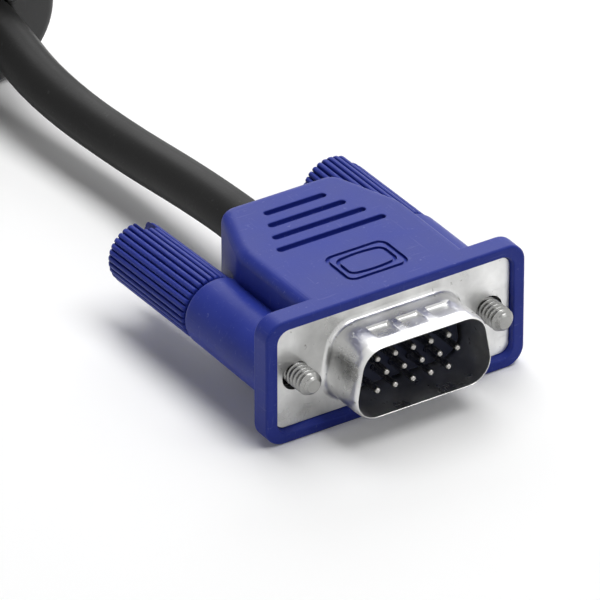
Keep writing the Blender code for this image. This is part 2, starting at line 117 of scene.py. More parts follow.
def hankPoints(near, far, low):
    # Six turns in two columns and three layers, then one pass on top.
    d, middle = cable["diameter"], cable["hankMiddle"]
    inner, outer = cable["foldRadius"], cable["foldRadius"] + d
    slots = [(outer, 0), (inner, 0), (inner, 1), (outer, 1), (outer, 2), (inner, 2), (inner, 3)]
    turns, (moveStart, moveLater, moveLength) = cable["turns"], cable["moveOver"]
    rise, peak, reach = cable["overStrap"]
    run = far - near
    fold = math.pi * (inner + outer) / 2
    lap = 2 * run + 2 * fold
    points = []
    count = 44
    for i in range(turns * count + round(count * (run + fold) / lap) + 1):
        g = i / count
        radius, layer = slots[0]
        for k in range(1, turns + 1):
            share = ease((g - (k - 1 + moveStart + (turns - k) * moveLater)) / moveLength)
            radius += share * (slots[k][0] - slots[k - 1][0])
            layer += share * (slots[k][1] - slots[k - 1][1])
        s = (g % 1) * lap
        if s < run:
            x, y = radius, near + s
        elif s < run + fold:
            angle = (s - run) / fold * math.pi
            x, y = radius * math.cos(angle), far + radius * math.sin(angle)
        elif s < 2 * run + fold:
            x, y = -radius, far - (s - run - fold)
        else:
            angle = math.pi + (s - 2 * run - fold) / fold * math.pi
            x, y = radius * math.cos(angle), near + radius * math.sin(angle)
        z = low + d / 2 + layer * d
        if g > turns:
            z += rise * ease(1 - abs(y - (far - peak)) / reach)
        points.append(Vector((middle + x, y, z)))
    return points


def cablePath():
    zero, sleeve = nearPlug, cable["sleeveFront"]
    back = cable["collarBack"]
    hankLow, hankHigh = (Vector(corner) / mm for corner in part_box("cable_hank"))
    half = (hankHigh.x - hankLow.x) / 2
    near, far = hankLow.y + half, hankHigh.y - half
    points = [
        zero + Vector((0, back - cable["intoCollar"], 0)),
        zero + Vector((0, back + 6, 0)),
        Vector((-0.1, 28.0, 7.1)),
        Vector((-0.55, 40.0, 6.2)),
        Vector((-1.25, 50.0, 6.3)),
        Vector((-1.6, 57.5, 7.1)),
        Vector((-1.35, 63.5, 8.2)),
        sleeve + Vector((0, 0.5, 0)),
        sleeve + Vector((0, 4.0, 0)),
        sleeve + Vector((0, 14.0, 0)),
        sleeve + Vector((0, 24.0, 0)),
        sleeve + Vector((0, 31.0, 0)),
        Vector((-0.2, 106.5, 8.1)),
        Vector((1.9, 113.5, 6.4)),
        Vector((5.3, 120.5, 4.9)),
        Vector((9.4, 128.0, 4.3)),
        Vector((12.4, 136.0, 4.15)),
    ]
    points += hankPoints(near, far, hankLow.z)
    collar = farPlug + Vector((0, back, 0))
    side, top = points[-1].x, points[-1].z
    for along, across in ((0.2, 0.01), (0.35, 0.16), (0.5, 0.5), (0.65, 0.86), (0.8, 1), (1, 1)):
        rise = max(across, 0.35 * ease(along / 0.2)) if across < 0.35 else across
        points.append(Vector((
            side + (collar.x - side) * across,
            far + (collar.y - cable["intoCollar"] - far) * along,
            top + (collar.z - top) * rise,
        )))
    return smoothPath(points, cable["spacing"])


def addCable():
    path = [p * mm for p in cablePath()]
    data = bpy.data.curves.new("cable", "CURVE")
    data.dimensions = "3D"
    data.bevel_depth = 1  # times each point's radius
    data.bevel_resolution = cable["sides"]
    data.use_fill_caps = True
    spline = data.splines.new("POLY")
    spline.points.add(len(path) - 1)
    for point, place in zip(spline.points, path):
        point.co = (*place, 1)
        point.radius = cable["diameter"] * mm / 2
    spline.use_smooth = True
    piece = bpy.data.objects.new("cable", data)
    bpy.context.scene.collection.objects.link(piece)
    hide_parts("cable_near", "cable_hank", "cable_far")
    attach(piece, "cable")
    print("cable", round(sum((b - a).length for a, b in zip(path, path[1:])), 4), "m")
    return piece


cablePiece = addCable()

# Tools for the meshes.


def addPiece(name, mesh, material, nodes, body, place=(0, 0, 0)):
    # A finished piece that stands for its CAD nodes and moves with their body.
    piece = bpy.data.objects.new(name, mesh)
    piece.location = Vector(place) * mm
    bpy.context.scene.collection.objects.link(piece)
    if not mesh.materials:
        mesh.materials.append(material)
    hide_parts(*nodes)
    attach(piece, body)
    return piece


def draft(mesh):
    piece = bpy.data.objects.new("draft", mesh)
    bpy.context.scene.collection.objects.link(piece)
    return piece


def freeze(piece):
    # The draft's mesh with its modifiers applied; the draft goes.
    state = bpy.context.evaluated_depsgraph_get()
    mesh = bpy.data.meshes.new_from_object(piece.evaluated_get(state))
    mesh.transform(piece.matrix_world)
    bpy.data.objects.remove(piece)
    return mesh


def cleaned(mesh, distance=1e-4):
    bm = bmesh.new()
    bm.from_mesh(mesh)
    bmesh.ops.remove_doubles(bm, verts=bm.verts, dist=distance)
    bmesh.ops.recalc_face_normals(bm, faces=bm.faces)
    bm.to_mesh(mesh)
    bm.free()
    return mesh


def finished(piece, angle=32):
    # From a draft in millimetres to a mesh in metres, shaded smooth between its sharp edges.
    mesh = cleaned(freeze(piece))
    mesh.shade_smooth()
    mesh.set_sharp_from_angle(angle=math.radians(angle))
    piece = draft(mesh)
    weights = piece.modifiers.new("normals", "WEIGHTED_NORMAL")
    weights.keep_sharp = True
    weights.weight = 80
    mesh = freeze(piece)
    mesh.transform(Matrix.Scale(mm, 4))
    return mesh


def beveled(piece, width, segments=4, angle=30):
    bevel = piece.modifiers.new("edges", "BEVEL")
    bevel.width = width
    bevel.segments = segments
    bevel.limit_method = "ANGLE"
    bevel.angle_limit = math.radians(angle)
    return draft(cleaned(freeze(piece)))


def combined(piece, other, operation):
    boolean = piece.modifiers.new("boolean", "BOOLEAN")
    boolean.operation = operation
    boolean.object = other
    result = draft(freeze(piece))
    bpy.data.objects.remove(other)
    return result


def fused(piece, other):
    return combined(piece, other, "UNION")


def carved(piece, other):
    return combined(piece, other, "DIFFERENCE")


def arc(centre, radius, start, end, steps):
    turn = [math.radians(start + (end - start) * i / steps) for i in range(steps + 1)]
    return [(centre[0] + radius * math.cos(a), centre[1] + radius * math.sin(a)) for a in turn]


def circle(x, y, radius, sides):
    return arc((x, y), radius, 0, 360 * (sides - 1) / sides, sides - 1)


def roundedBox(width, height, radius, steps=10):
    x, y = width / 2 - radius, height / 2 - radius
    outline = []
    for i, corner in enumerate(((x, y), (-x, y), (-x, -y), (x, -y))):
        outline += arc(corner, radius, i * 90, (i + 1) * 90, steps)
    return outline


def filleted(corners, steps=8):
    # A closed outline of (x, y, radius) corners, each rounded to its radius.
    outline = []
    count = len(corners)
    for i, (x, y, radius) in enumerate(corners):
        here = Vector((x, y))
        before = (Vector(corners[i - 1][:2]) - here).normalized()
        after = (Vector(corners[(i + 1) % count][:2]) - here).normalized()
        half = before.angle(after) / 2
        reach = radius / math.tan(half)
        centre = here + (before + after).normalized() * radius / math.sin(half)
        first, last = here + before * reach - centre, here + after * reach - centre
        for k in range(steps + 1):
            outline.append(tuple(centre + radius * first.slerp(last, k / steps)))
    return outline


def slab(outlines, low, high, along="Z"):
    # Flat outlines, the first one solid and the rest holes, drawn in XY or in XZ and given a thickness.
    curve = bpy.data.curves.new("outline", "CURVE")
    curve.dimensions = "2D"
    curve.fill_mode = "BOTH"
    curve.extrude = (high - low) / 2
    for outline in outlines:
        spline = curve.splines.new("POLY")
        spline.points.add(len(outline) - 1)
        for point, place in zip(spline.points, outline):
            point.co = (*place, 0, 1)
        spline.use_cyclic_u = True
    piece = draft(curve)
    middle = (high + low) / 2
    if along == "Y":
        piece.matrix_world = Matrix.Translation((0, middle, 0)) @ Matrix.Rotation(math.pi / 2, 4, "X")
    else:
        piece.matrix_world = Matrix.Translation((0, 0, middle))
    bpy.context.view_layer.update()
    return draft(cleaned(freeze(piece)))


def loft(rings, ringed=False):
    # Skins rings of the same number of points, closed with caps or, if ringed, back to the first ring.
    bm = bmesh.new()
    rows = [[bm.verts.new(point) for point in ring] for ring in rings]
    count = len(rows[0])
    pairs = list(zip(rows, rows[1:]))
    if ringed:
        pairs.append((rows[-1], rows[0]))
    for a, b in pairs:
        for i in range(count):
            j = (i + 1) % count
            bm.faces.new((a[i], a[j], b[j], b[i]))
    if not ringed:
        bm.faces.new(rows[0])
        bm.faces.new(rows[-1])
    bmesh.ops.recalc_face_normals(bm, faces=bm.faces)
    mesh = bpy.data.meshes.new("loft")
    bm.to_mesh(mesh)
    bm.free()
    return draft(mesh)


def turnedRings(profile, sides, x=0.0, z=0.0):
    # Rings about the Y axis for a profile of (radius, y) pairs.
    rings = []
    for radius, y in profile:
        rings.append([(x + px, y, z + pz) for px, pz in circle(0, 0, max(radius, 1e-3), sides)])
    return rings


quarterTurn = (0.26, 0.52, 0.78, 1.05, 1.31, 1.57)  # the steps of a rounded edge, in radians


def shifted(piece, x=0.0, y=0.0, z=0.0):
    piece.data.transform(Matrix.Translation((x, y, z)))
    return piece


# Effects that more than one material uses.


def newGroup(name, inputs, outputs):
    group = bpy.data.node_groups.new(name, "ShaderNodeTree")
    for socket, value in inputs:
        made = group.interface.new_socket(socket, in_out="INPUT", socket_type="NodeSocketFloat")
        made.default_value = value
    for socket in outputs:
        group.interface.new_socket(socket, in_out="OUTPUT", socket_type="NodeSocketFloat")
    return group, group.nodes.new("NodeGroupInput"), group.nodes.new("NodeGroupOutput")


def mathNode(tree, operation, a, b=None, clamp=False):
    node = tree.nodes.new("ShaderNodeMath")
    node.operation = operation
    node.use_clamp = clamp
    for socket, value in zip(node.inputs, (a, b)):
        if value is None:
            continue
        if isinstance(value, (int, float)):
            socket.default_value = value
        else:
            tree.links.new(value, socket)
    return node.outputs[0]


def noiseNode(tree, vector, scale, detail=3.0, roughness=0.55):
    node = tree.nodes.new("ShaderNodeTexNoise")
    node.inputs["Detail"].default_value = detail
    node.inputs["Roughness"].default_value = roughness
    tree.links.new(vector, node.inputs["Vector"])
    if isinstance(scale, (int, float)):
        node.inputs["Scale"].default_value = scale
    else:
        tree.links.new(scale, node.inputs["Scale"])
    return node.outputs["Fac"]


def spread(tree, value, low, high, outLow=0.0, outHigh=1.0):
    node = tree.nodes.new("ShaderNodeMapRange")
    node.inputs["From Min"].default_value = low
    node.inputs["From Max"].default_value = high
    node.inputs["To Min"].default_value = outLow
    node.inputs["To Max"].default_value = outHigh
    tree.links.new(value, node.inputs["Value"])
    return node.outputs["Result"]


def mouldedGrainGroup():
    # The fine grain and slow unevenness of a moulded skin.
    group, given, result = newGroup(
        "mouldedGrain", [("Grain scale", 9000.0), ("Patch scale", 160.0)], ["Height", "Patches"]
    )
    where = group.nodes.new("ShaderNodeTexCoord").outputs["Object"]
    grain = noiseNode(group, where, given.outputs["Grain scale"], 2.0)
    patches = noiseNode(group, where, given.outputs["Patch scale"], 4.0)
    fine, slow = mathNode(group, "MULTIPLY", grain, 0.6), mathNode(group, "MULTIPLY", patches, 0.4)
    group.links.new(mathNode(group, "ADD", fine, slow), result.inputs["Height"])
    group.links.new(patches, result.inputs["Patches"])
    return group


def scuffGroup():
    # Short hairlines in three directions, and small spots.
    group, given, result = newGroup(
        "scuffs", [("Hairline scale", 320.0), ("Spot scale", 900.0)], ["Hairlines", "Spots", "Clouds"]
    )
    where = group.nodes.new("ShaderNodeTexCoord").outputs["Object"]
    strokes = [  # turn and stretch
        ((0.3, 0.2, 0.5), (1, 14, 9)),
        ((0.9, 0.6, -0.4), (12, 1, 16)),
        ((0.1, 1.3, 1.1), (9, 11, 1)),
    ]
    lines = None
    for turn, stretch in strokes:
        mapping = group.nodes.new("ShaderNodeMapping")
        mapping.inputs["Rotation"].default_value = turn
        mapping.inputs["Scale"].default_value = stretch
        group.links.new(where, mapping.inputs["Vector"])
        stroke = noiseNode(group, mapping.outputs["Vector"], given.outputs["Hairline scale"], 2.0)
        stroke = spread(group, stroke, 0.66, 0.74)
        lines = stroke if lines is None else mathNode(group, "MAXIMUM", lines, stroke)
    spots = spread(group, noiseNode(group, where, given.outputs["Spot scale"], 3.0), 0.66, 0.76)
    group.links.new(lines, result.inputs["Hairlines"])
    group.links.new(spots, result.inputs["Spots"])
    group.links.new(noiseNode(group, where, 140.0, 4.0), result.inputs["Clouds"])
    return group


mouldedGrain = mouldedGrainGroup()
scuffs = scuffGroup()


def newMaterial(name, roughness, metallic=0.0):
    material = bpy.data.materials.new(name)
    material.use_nodes = True
    tree = material.node_tree
    shader = tree.nodes["Principled BSDF"]
    shader.inputs["Roughness"].default_value = roughness
    shader.inputs["Metallic"].default_value = metallic
    return material, tree, shader


def placeGroup(tree, group, **values):
    node = tree.nodes.new("ShaderNodeGroup")
    node.node_tree = group
    for name, value in values.items():
        node.inputs[name.replace("_", " ")].default_value = value
    return node


def mixedColor(tree, share, first, second):
    mix = tree.nodes.new("ShaderNodeMix")
    mix.data_type = "RGBA"
    tree.links.new(share, mix.inputs["Factor"])
    for socket, value in ((mix.inputs[6], first), (mix.inputs[7], second)):
        if isinstance(value, tuple):
            socket.default_value = (*value, 1)
        else:
            tree.links.new(value, socket)
    return mix.outputs[2]


def uneven(tree, value, low=0.0, high=1.0):
    return spread(tree, value, 0.3, 0.7, low, high)  # where nearly all of a noise lies


def addBump(tree, shader, height, strength, distance):
    bump = tree.nodes.new("ShaderNodeBump")
    bump.inputs["Strength"].default_value = strength
    bump.inputs["Distance"].default_value = distance
    tree.links.new(height, bump.inputs["Height"])
    tree.links.new(bump.outputs["Normal"], shader.inputs["Normal"])


def plasticMaterial(name, look):
    material, tree, shader = newMaterial(name, look["roughness"])
    shader.inputs["Specular IOR Level"].default_value = look["gloss"]
    grain = placeGroup(tree, mouldedGrain, Grain_scale=look["grainScale"], Patch_scale=look["patchScale"])
    marks = placeGroup(tree, scuffs, Hairline_scale=look["hairlineScale"], Spot_scale=look["spotScale"])
    color = mixedColor(tree, uneven(tree, grain.outputs["Patches"]), look["dark"], look["light"])
    worn = mathNode(tree, "MULTIPLY", marks.outputs["Hairlines"], look["wear"])
    specks = mathNode(tree, "MULTIPLY", marks.outputs["Spots"], look["specks"])
    color = mixedColor(tree, mathNode(tree, "MAXIMUM", worn, specks), color, look["worn"])
    tree.links.new(color, shader.inputs["Base Color"])
    roughest = look["roughness"] + 0.06
    rough = uneven(tree, grain.outputs["Patches"], look["roughness"] - 0.05, roughest)
    tree.links.new(rough, shader.inputs["Roughness"])
    addBump(tree, shader, grain.outputs["Height"], look["bump"], 0.00004)
    return material


def metalMaterial(name, look):
    material, tree, shader = newMaterial(name, look["roughness"], 1.0)
    marks = placeGroup(tree, scuffs, Hairline_scale=look["hairlineScale"], Spot_scale=look["spotScale"])
    clouds, hairlines = marks.outputs["Clouds"], marks.outputs["Hairlines"]
    color = mixedColor(tree, uneven(tree, clouds), look["dark"], look["light"])
    stains = mathNode(tree, "MULTIPLY", marks.outputs["Spots"], look["stains"])
    color = mixedColor(tree, stains, color, look["stain"])
    tree.links.new(color, shader.inputs["Base Color"])
    rough = uneven(tree, clouds, look["roughness"] - 0.06, look["roughness"] + 0.08)
    rough = mathNode(tree, "ADD", rough, mathNode(tree, "MULTIPLY", hairlines, look["wear"]), True)
    tree.links.new(rough, shader.inputs["Roughness"])
    height = mathNode(tree, "SUBTRACT", clouds, mathNode(tree, "MULTIPLY", hairlines, 0.12))
    addBump(tree, shader, height, look["bump"], 0.0001)
    return material


hoodBlue = plasticMaterial("hoodBlue", {
    "dark": (0.018, 0.032, 0.250),
    "light": (0.026, 0.042, 0.285),
    "worn": (0.22, 0.25, 0.55),
    "roughness": 0.40,
    "gloss": 0.13,
    "grainScale": 7000,
    "patchScale": 150,
    "hairlineScale": 260,
    "spotScale": 1500,
    "wear": 0.10,
    "specks": 0.25,
    "bump": 0.35,
})
# Painted shade: the block's blue plastic is given the near-black tone it shows in the shade deep inside the
# shell, darker than its own colour.
insulatorPaintedShade = plasticMaterial("insulatorPaintedShade", {
    "dark": (0.004, 0.006, 0.020),
    "light": (0.007, 0.011, 0.038),
    "worn": (0.02, 0.03, 0.08),
    "roughness": 0.42,
    "gloss": 0.2,
    "grainScale": 6000,
    "patchScale": 260,
    "hairlineScale": 400,
    "spotScale": 1200,
    "wear": 0.2,
    "specks": 0.3,
    "bump": 0.3,
})
jacketBlack = plasticMaterial("jacketBlack", {
    "dark": (0.005, 0.005, 0.005),
    "light": (0.009, 0.009, 0.009),
    "worn": (0.07, 0.07, 0.07),
    "roughness": 0.45,
    "gloss": 0.15,
    "grainScale": 3500,
    "patchScale": 90,
    "hairlineScale": 200,
    "spotScale": 1400,
    "wear": 0.06,
    "specks": 0.2,
    "bump": 0.5,
})
sleeveBlack = plasticMaterial("sleeveBlack", {
    "dark": (0.030, 0.030, 0.030),
    "light": (0.042, 0.042, 0.042),
    "worn": (0.10, 0.10, 0.10),
    "roughness": 0.5,
    "gloss": 0.4,
    "grainScale": 4500,
    "patchScale": 120,
    "hairlineScale": 220,
    "spotScale": 1400,
    "wear": 0.10,
    "specks": 0.2,
    "bump": 0.6,
})
shellNickel = metalMaterial("shellNickel", {
    "dark": (0.48, 0.48, 0.475),
    "light": (0.88, 0.88, 0.87),
    "stain": (0.14, 0.13, 0.12),
    "roughness": 0.3,
    "hairlineScale": 420,
    "spotScale": 1100,
    "stains": 0.85,
    "wear": 0.3,
    "bump": 0.8,
})
# Plated metal, its colour darkened as painted shade: the pins lie in the shade inside the shell, so their
# shafts are kept dim.
pinPlatingPaintedShade = metalMaterial("pinPlatingPaintedShade", {
    "dark": (0.32, 0.31, 0.30),
    "light": (0.44, 0.43, 0.41),
    "stain": (0.30, 0.27, 0.22),
    "roughness": 0.2,
    "hairlineScale": 900,
    "spotScale": 2500,
    "stains": 0.3,
    "wear": 0.2,
    "bump": 0.1,
})
screwNickel = metalMaterial("screwNickel", {
    "dark": (0.22, 0.22, 0.215),
    "light": (0.36, 0.36, 0.35),
    "stain": (0.12, 0.11, 0.10),
    "roughness": 0.24,
    "hairlineScale": 600,
    "spotScale": 1800,
    "stains": 0.5,
    "wear": 0.25,
    "bump": 0.2,
})


def strapMaterial():
    # Looped fabric: rows of short loops with fuzz between them.
    material, tree, shader = newMaterial("strapLoops", 0.9)
    where = tree.nodes.new("ShaderNodeTexCoord").outputs["Object"]
    loops = tree.nodes.new("ShaderNodeTexVoronoi")
    loops.inputs["Scale"].default_value = 2600
    tree.links.new(where, loops.inputs["Vector"])
    fuzz = noiseNode(tree, where, 5200.0, 4.0)
    share = mathNode(tree, "MULTIPLY", loops.outputs["Distance"], fuzz)
    color = mixedColor(tree, share, (0.008, 0.008, 0.009), (0.05, 0.05, 0.055))
    tree.links.new(color, shader.inputs["Base Color"])
    shader.inputs["Sheen Weight"].default_value = 0.3
    addBump(tree, shader, share, 0.8, 0.0002)
    return material


strapLoops = strapMaterial()
cablePiece.data.materials.append(jacketBlack)
print("materials ready")

# The moulded hood.

hood = {
    "frame": (33.39, 15.4, 2.3),     # width, height and corner
    "opening": (30.45, 12.9, 1.5),    # at its front, and where it drafts in to the plate
    "openingBack": (30.45, 12.3, 1.3),
    "openingEdge": 0.2,
    "frameEdge": 0.3,
    "lip": -0.75,
    "frameBack": 1.9,
    "floor": 1.6,                    # of the recess that holds the metal plate
    "bodyHalf": 10.6,
    "bodyRearHalf": 7.4,
    "taperStart": 14.6,
    "taperRound": 5.0,
    "bodyBack": 23.4,
    "rearRound": 2.3,
    "bodyTop": 7.7,
    "bodyEdge": 1.4,
    "collar": (5.5, 25.8),           # radius and back
    "boss": (4.05, 16.3),
    "screwHalf": 12.495,             # from the middle to each screw
    "recess": 13.8,                  # height
    "screwBore": [(2.6, 0.5), (2.6, 6.5), (1.72, 6.5), (1.72, 30)],  # radius and y
    "knobHollow": [(4.31, 16.3), (4.31, 27)],
    "grooves": [(19.5, 3.95), (17.1, 4.95), (14.65, 5.95), (12.2, 6.95)],  # y and half length
    "grooveWidth": 0.82,
    "grooveDepth": 0.7,
    "signBox": (7.55, 5.35, 1.0),
    "signScreen": (5.95, 3.0, 0.7),
    "signBulge": 0.32,
    "signMiddle": 5.25,
    "signLine": 0.46,
    "signDepth": 0.32,
}


def shellOutline(grow, cornerSteps=8, topSteps=1, lowSteps=1):
    # The plug's D seen from the front, grown outward from the inside of its shell.
    width, height, corner, slope = shell["inside"]
    radius = corner + grow
    foot = width / 2 + grow - radius
    low, high = -height / 2 - grow + radius, height / 2 + grow - radius
    head = foot - (high - low) * math.tan(math.radians(slope))
    corners = [
        arc((head, high), radius, slope, 90, cornerSteps),
        arc((-head, high), radius, 90, 180 - slope, cornerSteps),
        arc((-foot, low), radius, 180 - slope, 270, cornerSteps),
        arc((foot, low), radius, 270, 360 + slope, cornerSteps),
    ]
    outline = []
    for i, (points, steps) in enumerate(zip(corners, (topSteps, 4, lowSteps, 4))):
        outline += points
        start, end = Vector(points[-1]), Vector(corners[(i + 1) % 4][0])
        outline += [tuple(start.lerp(end, k / steps)) for k in range(1, steps)]
    return outline


def bodyOutline(inset):
    h = hood
    slope = Vector((h["bodyHalf"] - h["bodyRearHalf"], h["bodyBack"] - h["taperStart"])).normalized()
    # Where the inset side, taper and rear edges meet.
    sideShare = math.tan(math.atan2(slope.x, slope.y) / 2)
    rearShare = math.tan(math.atan2(slope.y, slope.x) / 2)
    right = [
        (h["bodyHalf"] - inset, -4.0, 0.3),
        (h["bodyHalf"] - inset, h["taperStart"] - inset * sideShare, h["taperRound"] - inset),
        (h["bodyRearHalf"] - inset * rearShare, h["bodyBack"] - inset, h["rearRound"] - inset),
    ]
    return filleted(right + [(-x, y, radius) for x, y, radius in reversed(right)], 10)


def bodyMesh():
    top, edge = hood["bodyTop"], hood["bodyEdge"]
    rings = []
    for i in range(8):
        turn = math.radians(90 - 90 * i / 7)
        inset, z = edge * (1 - math.cos(turn)), top - edge + edge * math.sin(turn)
        rings.append([(x, y, z) for x, y in bodyOutline(inset)])
    low = [[(x, y, -z) for x, y, z in ring] for ring in reversed(rings)]
    return loft(rings + low)


def frameMesh():
    h = hood
    edge, innerEdge = h["frameEdge"], h["openingEdge"]
    turns = [(1 - math.cos(a), 1 - math.sin(a)) for a in (math.radians(18 * i) for i in range(6))]

    def ring(size, grow, y):
        width, height, corner = size
        outline = roundedBox(width + 2 * grow, height + 2 * grow, corner + grow, 10)
        return [(x, y, z) for x, z in outline]

    rings = [ring(h["openingBack"], 0.0, h["floor"]), ring(h["openingBack"], 0.0, -0.05)]
    rings += [ring(h["opening"], innerEdge * c, h["lip"] + innerEdge * s) for c, s in turns]
    rings += [ring(h["frame"], -edge * s, h["lip"] + edge * c) for c, s in turns]
    rings += [ring(h["frame"], -edge * c, h["frameBack"] - edge * s) for c, s in turns]
    return loft(rings)


def roundedRod(radius, front, back, edge, x=0.0):
    profile = [(radius, front), (radius, back - edge)]
    for a in quarterTurn:
        profile.append((radius - edge + edge * math.cos(a), back - edge + edge * math.sin(a)))
    return loft(turnedRings(profile, 72, x))


def grooveCutter(y, half):
    width, top, depth = hood["grooveWidth"], hood["bodyTop"], hood["grooveDepth"]
    reach = half - width / 2
    floor = [(-0.22, -depth), (-0.08, 0.12 - depth), (0.0, 0.3 - depth)]
    lips = [(0.0, -0.16), (0.05, -0.06), (0.15, 0.0), (0.16, 1.0)]
    rings = []
    for grow, z in floor + lips:
        radius = width / 2 + grow
        outline = arc((reach, y), radius, -90, 90, 10) + arc((-reach, y), radius, 90, 270, 10)
        rings.append([(px, py, top + z) for px, py in outline])
    return loft(rings)


def hoodMesh():
    h = hood
    top = h["bodyTop"]
    body = carved(bodyMesh(), slab([roundedBox(40, 40, 1, 1)], -9, 0.2, "Y"))
    body = carved(body, slab([roundedBox(40, h["recess"], 0.1, 1)], -9, h["floor"] + 0.02, "Y"))
    shape = fused(frameMesh(), body)
    radius, back = h["boss"]
    for side in (-1, 1):
        shape = fused(shape, roundedRod(radius, h["floor"] + 0.05, back, 0.7, side * h["screwHalf"]))
    radius, back = h["collar"]
    shape = fused(shape, roundedRod(radius, 21.0, back, 0.8))
    shape = carved(shape, slab([shellOutline(0.7)], 0, 9.7, "Y"))
    for side in (-1, 1):
        x = side * h["screwHalf"]
        shape = carved(shape, loft(turnedRings(h["screwBore"], 40, x)))
        shape = carved(shape, loft(turnedRings(h["knobHollow"], 72, x)))
    for y, half in h["grooves"]:
        shape = carved(shape, grooveCutter(y, half))
    for outline in (signBox, signScreen):
        line = h["signLine"] / 2
        shape = carved(shape, slab([outline(line), outline(-line)], top - h["signDepth"], top + 1))
    return finished(shape)


# A plain screen sign: a rounded box round a barrel-shaped screen.


def signBox(grow):
    width, height, corner = hood["signBox"]
    outline = roundedBox(width + 2 * grow, height + 2 * grow, corner + grow, 8)
    return [(x, y + hood["signMiddle"]) for x, y in outline]


def signScreen(grow):
    width, height, corner = hood["signScreen"]
    width, height = width + 2 * grow, height + 2 * grow
    outline = []
    corners = roundedBox(width, height, corner + grow, 8)
    for (x, y), (nextX, nextY) in zip(corners, corners[1:] + corners[:1]):
        steps = 12 if abs(nextX - x) > 2 else 1
        for k in range(steps):
            px, py = x + (nextX - x) * k / steps, y + (nextY - y) * k / steps
            bulge = hood["signBulge"] * (1 - (2 * px / width) ** 2)
            outline.append((px, hood["signMiddle"] + py + math.copysign(bulge, py)))
    return outline


# The metal plate with its D-shaped shell.

shell = {
    "inside": (16.92, 8.36, 2.6, 10),  # width, height, corner and the sides' slope in degrees
    "plate": (30.19, 12.1, 1.2),
    "plateThick": 0.5,
    "hole": 1.7,
    "wall": 0.4,
    "root": 0.6,
    "reach": 6.2,
    "rimStart": 4.95,
    "dimples": (-3.5, 0.3, 4.1),
    "dimpleHalf": 1.45,
    "dimpleBack": 2.0,
    "dimpleFront": 4.7,
    "dimpleWall": 0.16,
    "dimpleSide": 0.25,
    "dimpleDepth": 0.34,
}


def dimpleDepth(x, y):
    s = shell
    across = max(ease((s["dimpleHalf"] - abs(x - place)) / s["dimpleSide"]) for place in s["dimples"])
    depth, wall = -y - s["dimpleBack"], s["dimpleWall"]
    if depth < wall:
        along = ease(depth / wall)
    else:
        along = 1 - (depth - wall) / (s["dimpleFront"] - s["dimpleBack"] - wall)
    return s["dimpleDepth"] * across * max(along, 0.0)


def frontShellMesh():
    # The wall's section, as (grow, y): its foot in the plate, outside, rolled rim and inside.
    s = shell
    root, reach, rimStart = s["root"], s["reach"], s["rimStart"]
    profile = [(0.06, 0.45), (1.0, 0.45), (1.0, 0.08)]
    for a in (0.1, 0.4, 0.7, 1.0, 1.3, 1.57):
        profile.append((1.0 - root * math.sin(a), -root + root * math.cos(a)))
    count = 46
    outerRows = [-root - (rimStart - root) * i / count for i in range(1, count + 1)]
    profile += [(s["wall"], y) for y in outerRows]
    for a in (0.2, 0.45, 0.7, 0.95, 1.2, 1.4, 1.57):
        profile.append((0.07 + 0.33 * math.cos(a), -rimStart - (reach - rimStart) * math.sin(a)))
    profile += [(0.02, -reach + 0.05), (0.0, -reach + 0.15)]
    profile += [(0.0, y) for y in reversed(outerRows)]
    rings = []
    for grow, y in profile:
        ring = []
        for x, z in shellOutline(grow, 8, 88, 4):
            if z > 3.6:  # the top wall
                z -= dimpleDepth(x, y)
            ring.append((x, y, z))
        rings.append(ring)
    wall = loft(rings, ringed=True)
    holes = [circle(side * hood["screwHalf"], 0, s["hole"], 48) for side in (-1, 1)]
    plate = slab([roundedBox(*s["plate"], 12), shellOutline(0.7), *holes], 0, s["plateThick"], "Y")
    plate = beveled(plate, 0.09, 2, 60)
    return finished(fused(plate, wall), 40)


# Contacts and the block that holds them.

contacts = {
    "pitch": 2.29,
    "rowPitch": 1.98,
    "rowShift": 1.145,
    "rowStart": -5.05,
    "radius": 0.38,
    "reach": 4.95,
    "tip": [(0.02, 0), (0.1, 0.01), (0.19, 0.05), (0.27, 0.12), (0.33, 0.22), (0.365, 0.33), (0.38, 0.46)],
    "back": 8.8,
    "blockFront": -0.4,
    "blockBack": 7.3,
}


def pinPlaces():
    c = contacts
    places = []
    for row in range(3):
        shift = c["rowShift"] if row == 1 else 0
        places += [(c["rowStart"] + shift + i * c["pitch"], (1 - row) * c["rowPitch"]) for i in range(5)]
    return places


def pinMesh(places=((0, 0),)):
    c = contacts
    r = c["radius"]
    profile = [(radius, along - c["reach"]) for radius, along in c["tip"]]
    profile += [(r, c["blockFront"] - 0.05), (r, c["back"] - 0.1), (r - 0.1, c["back"])]
    mesh = bpy.data.meshes.new("pins")
    bm = bmesh.new()
    for x, z in places:
        one = loft(turnedRings(profile, 20, x, z))
        bm.from_mesh(one.data)
        bpy.data.objects.remove(one)
    bm.to_mesh(mesh)
    bm.free()
    return finished(draft(mesh), 40)


def insulatorMesh():
    c = contacts
    holes = [circle(x, z, c["radius"] + 0.07, 20) for x, z in pinPlaces()]
    block = slab([shellOutline(-0.25, 10), *holes], c["blockFront"], c["blockBack"], "Y")
    return finished(beveled(block, 0.06, 2, 60), 40)


# Thumbscrews.

screw = {
    "threadRadius": 1.42,
    "rootRadius": 1.02,
    "threadPitch": 0.635,
    "tip": -3.3,
    "threadEnd": 1.7,
    "neck": (1.1, 1.8, 2.8),
    "back": 26.1,
    "knobFront": 16.6,
    "knobBack": 32.1,
    "knobRadius": 3.86,
    "knobRearRadius": 3.74,
    "flutes": 30,
    "fluteDepth": 0.42,
    "slotWidth": 1.8,
    "slotDepth": 2.3,
    "ring": (1.38, 2.3, 1.9, 2.7),  # inner and outer radius, front and back
}


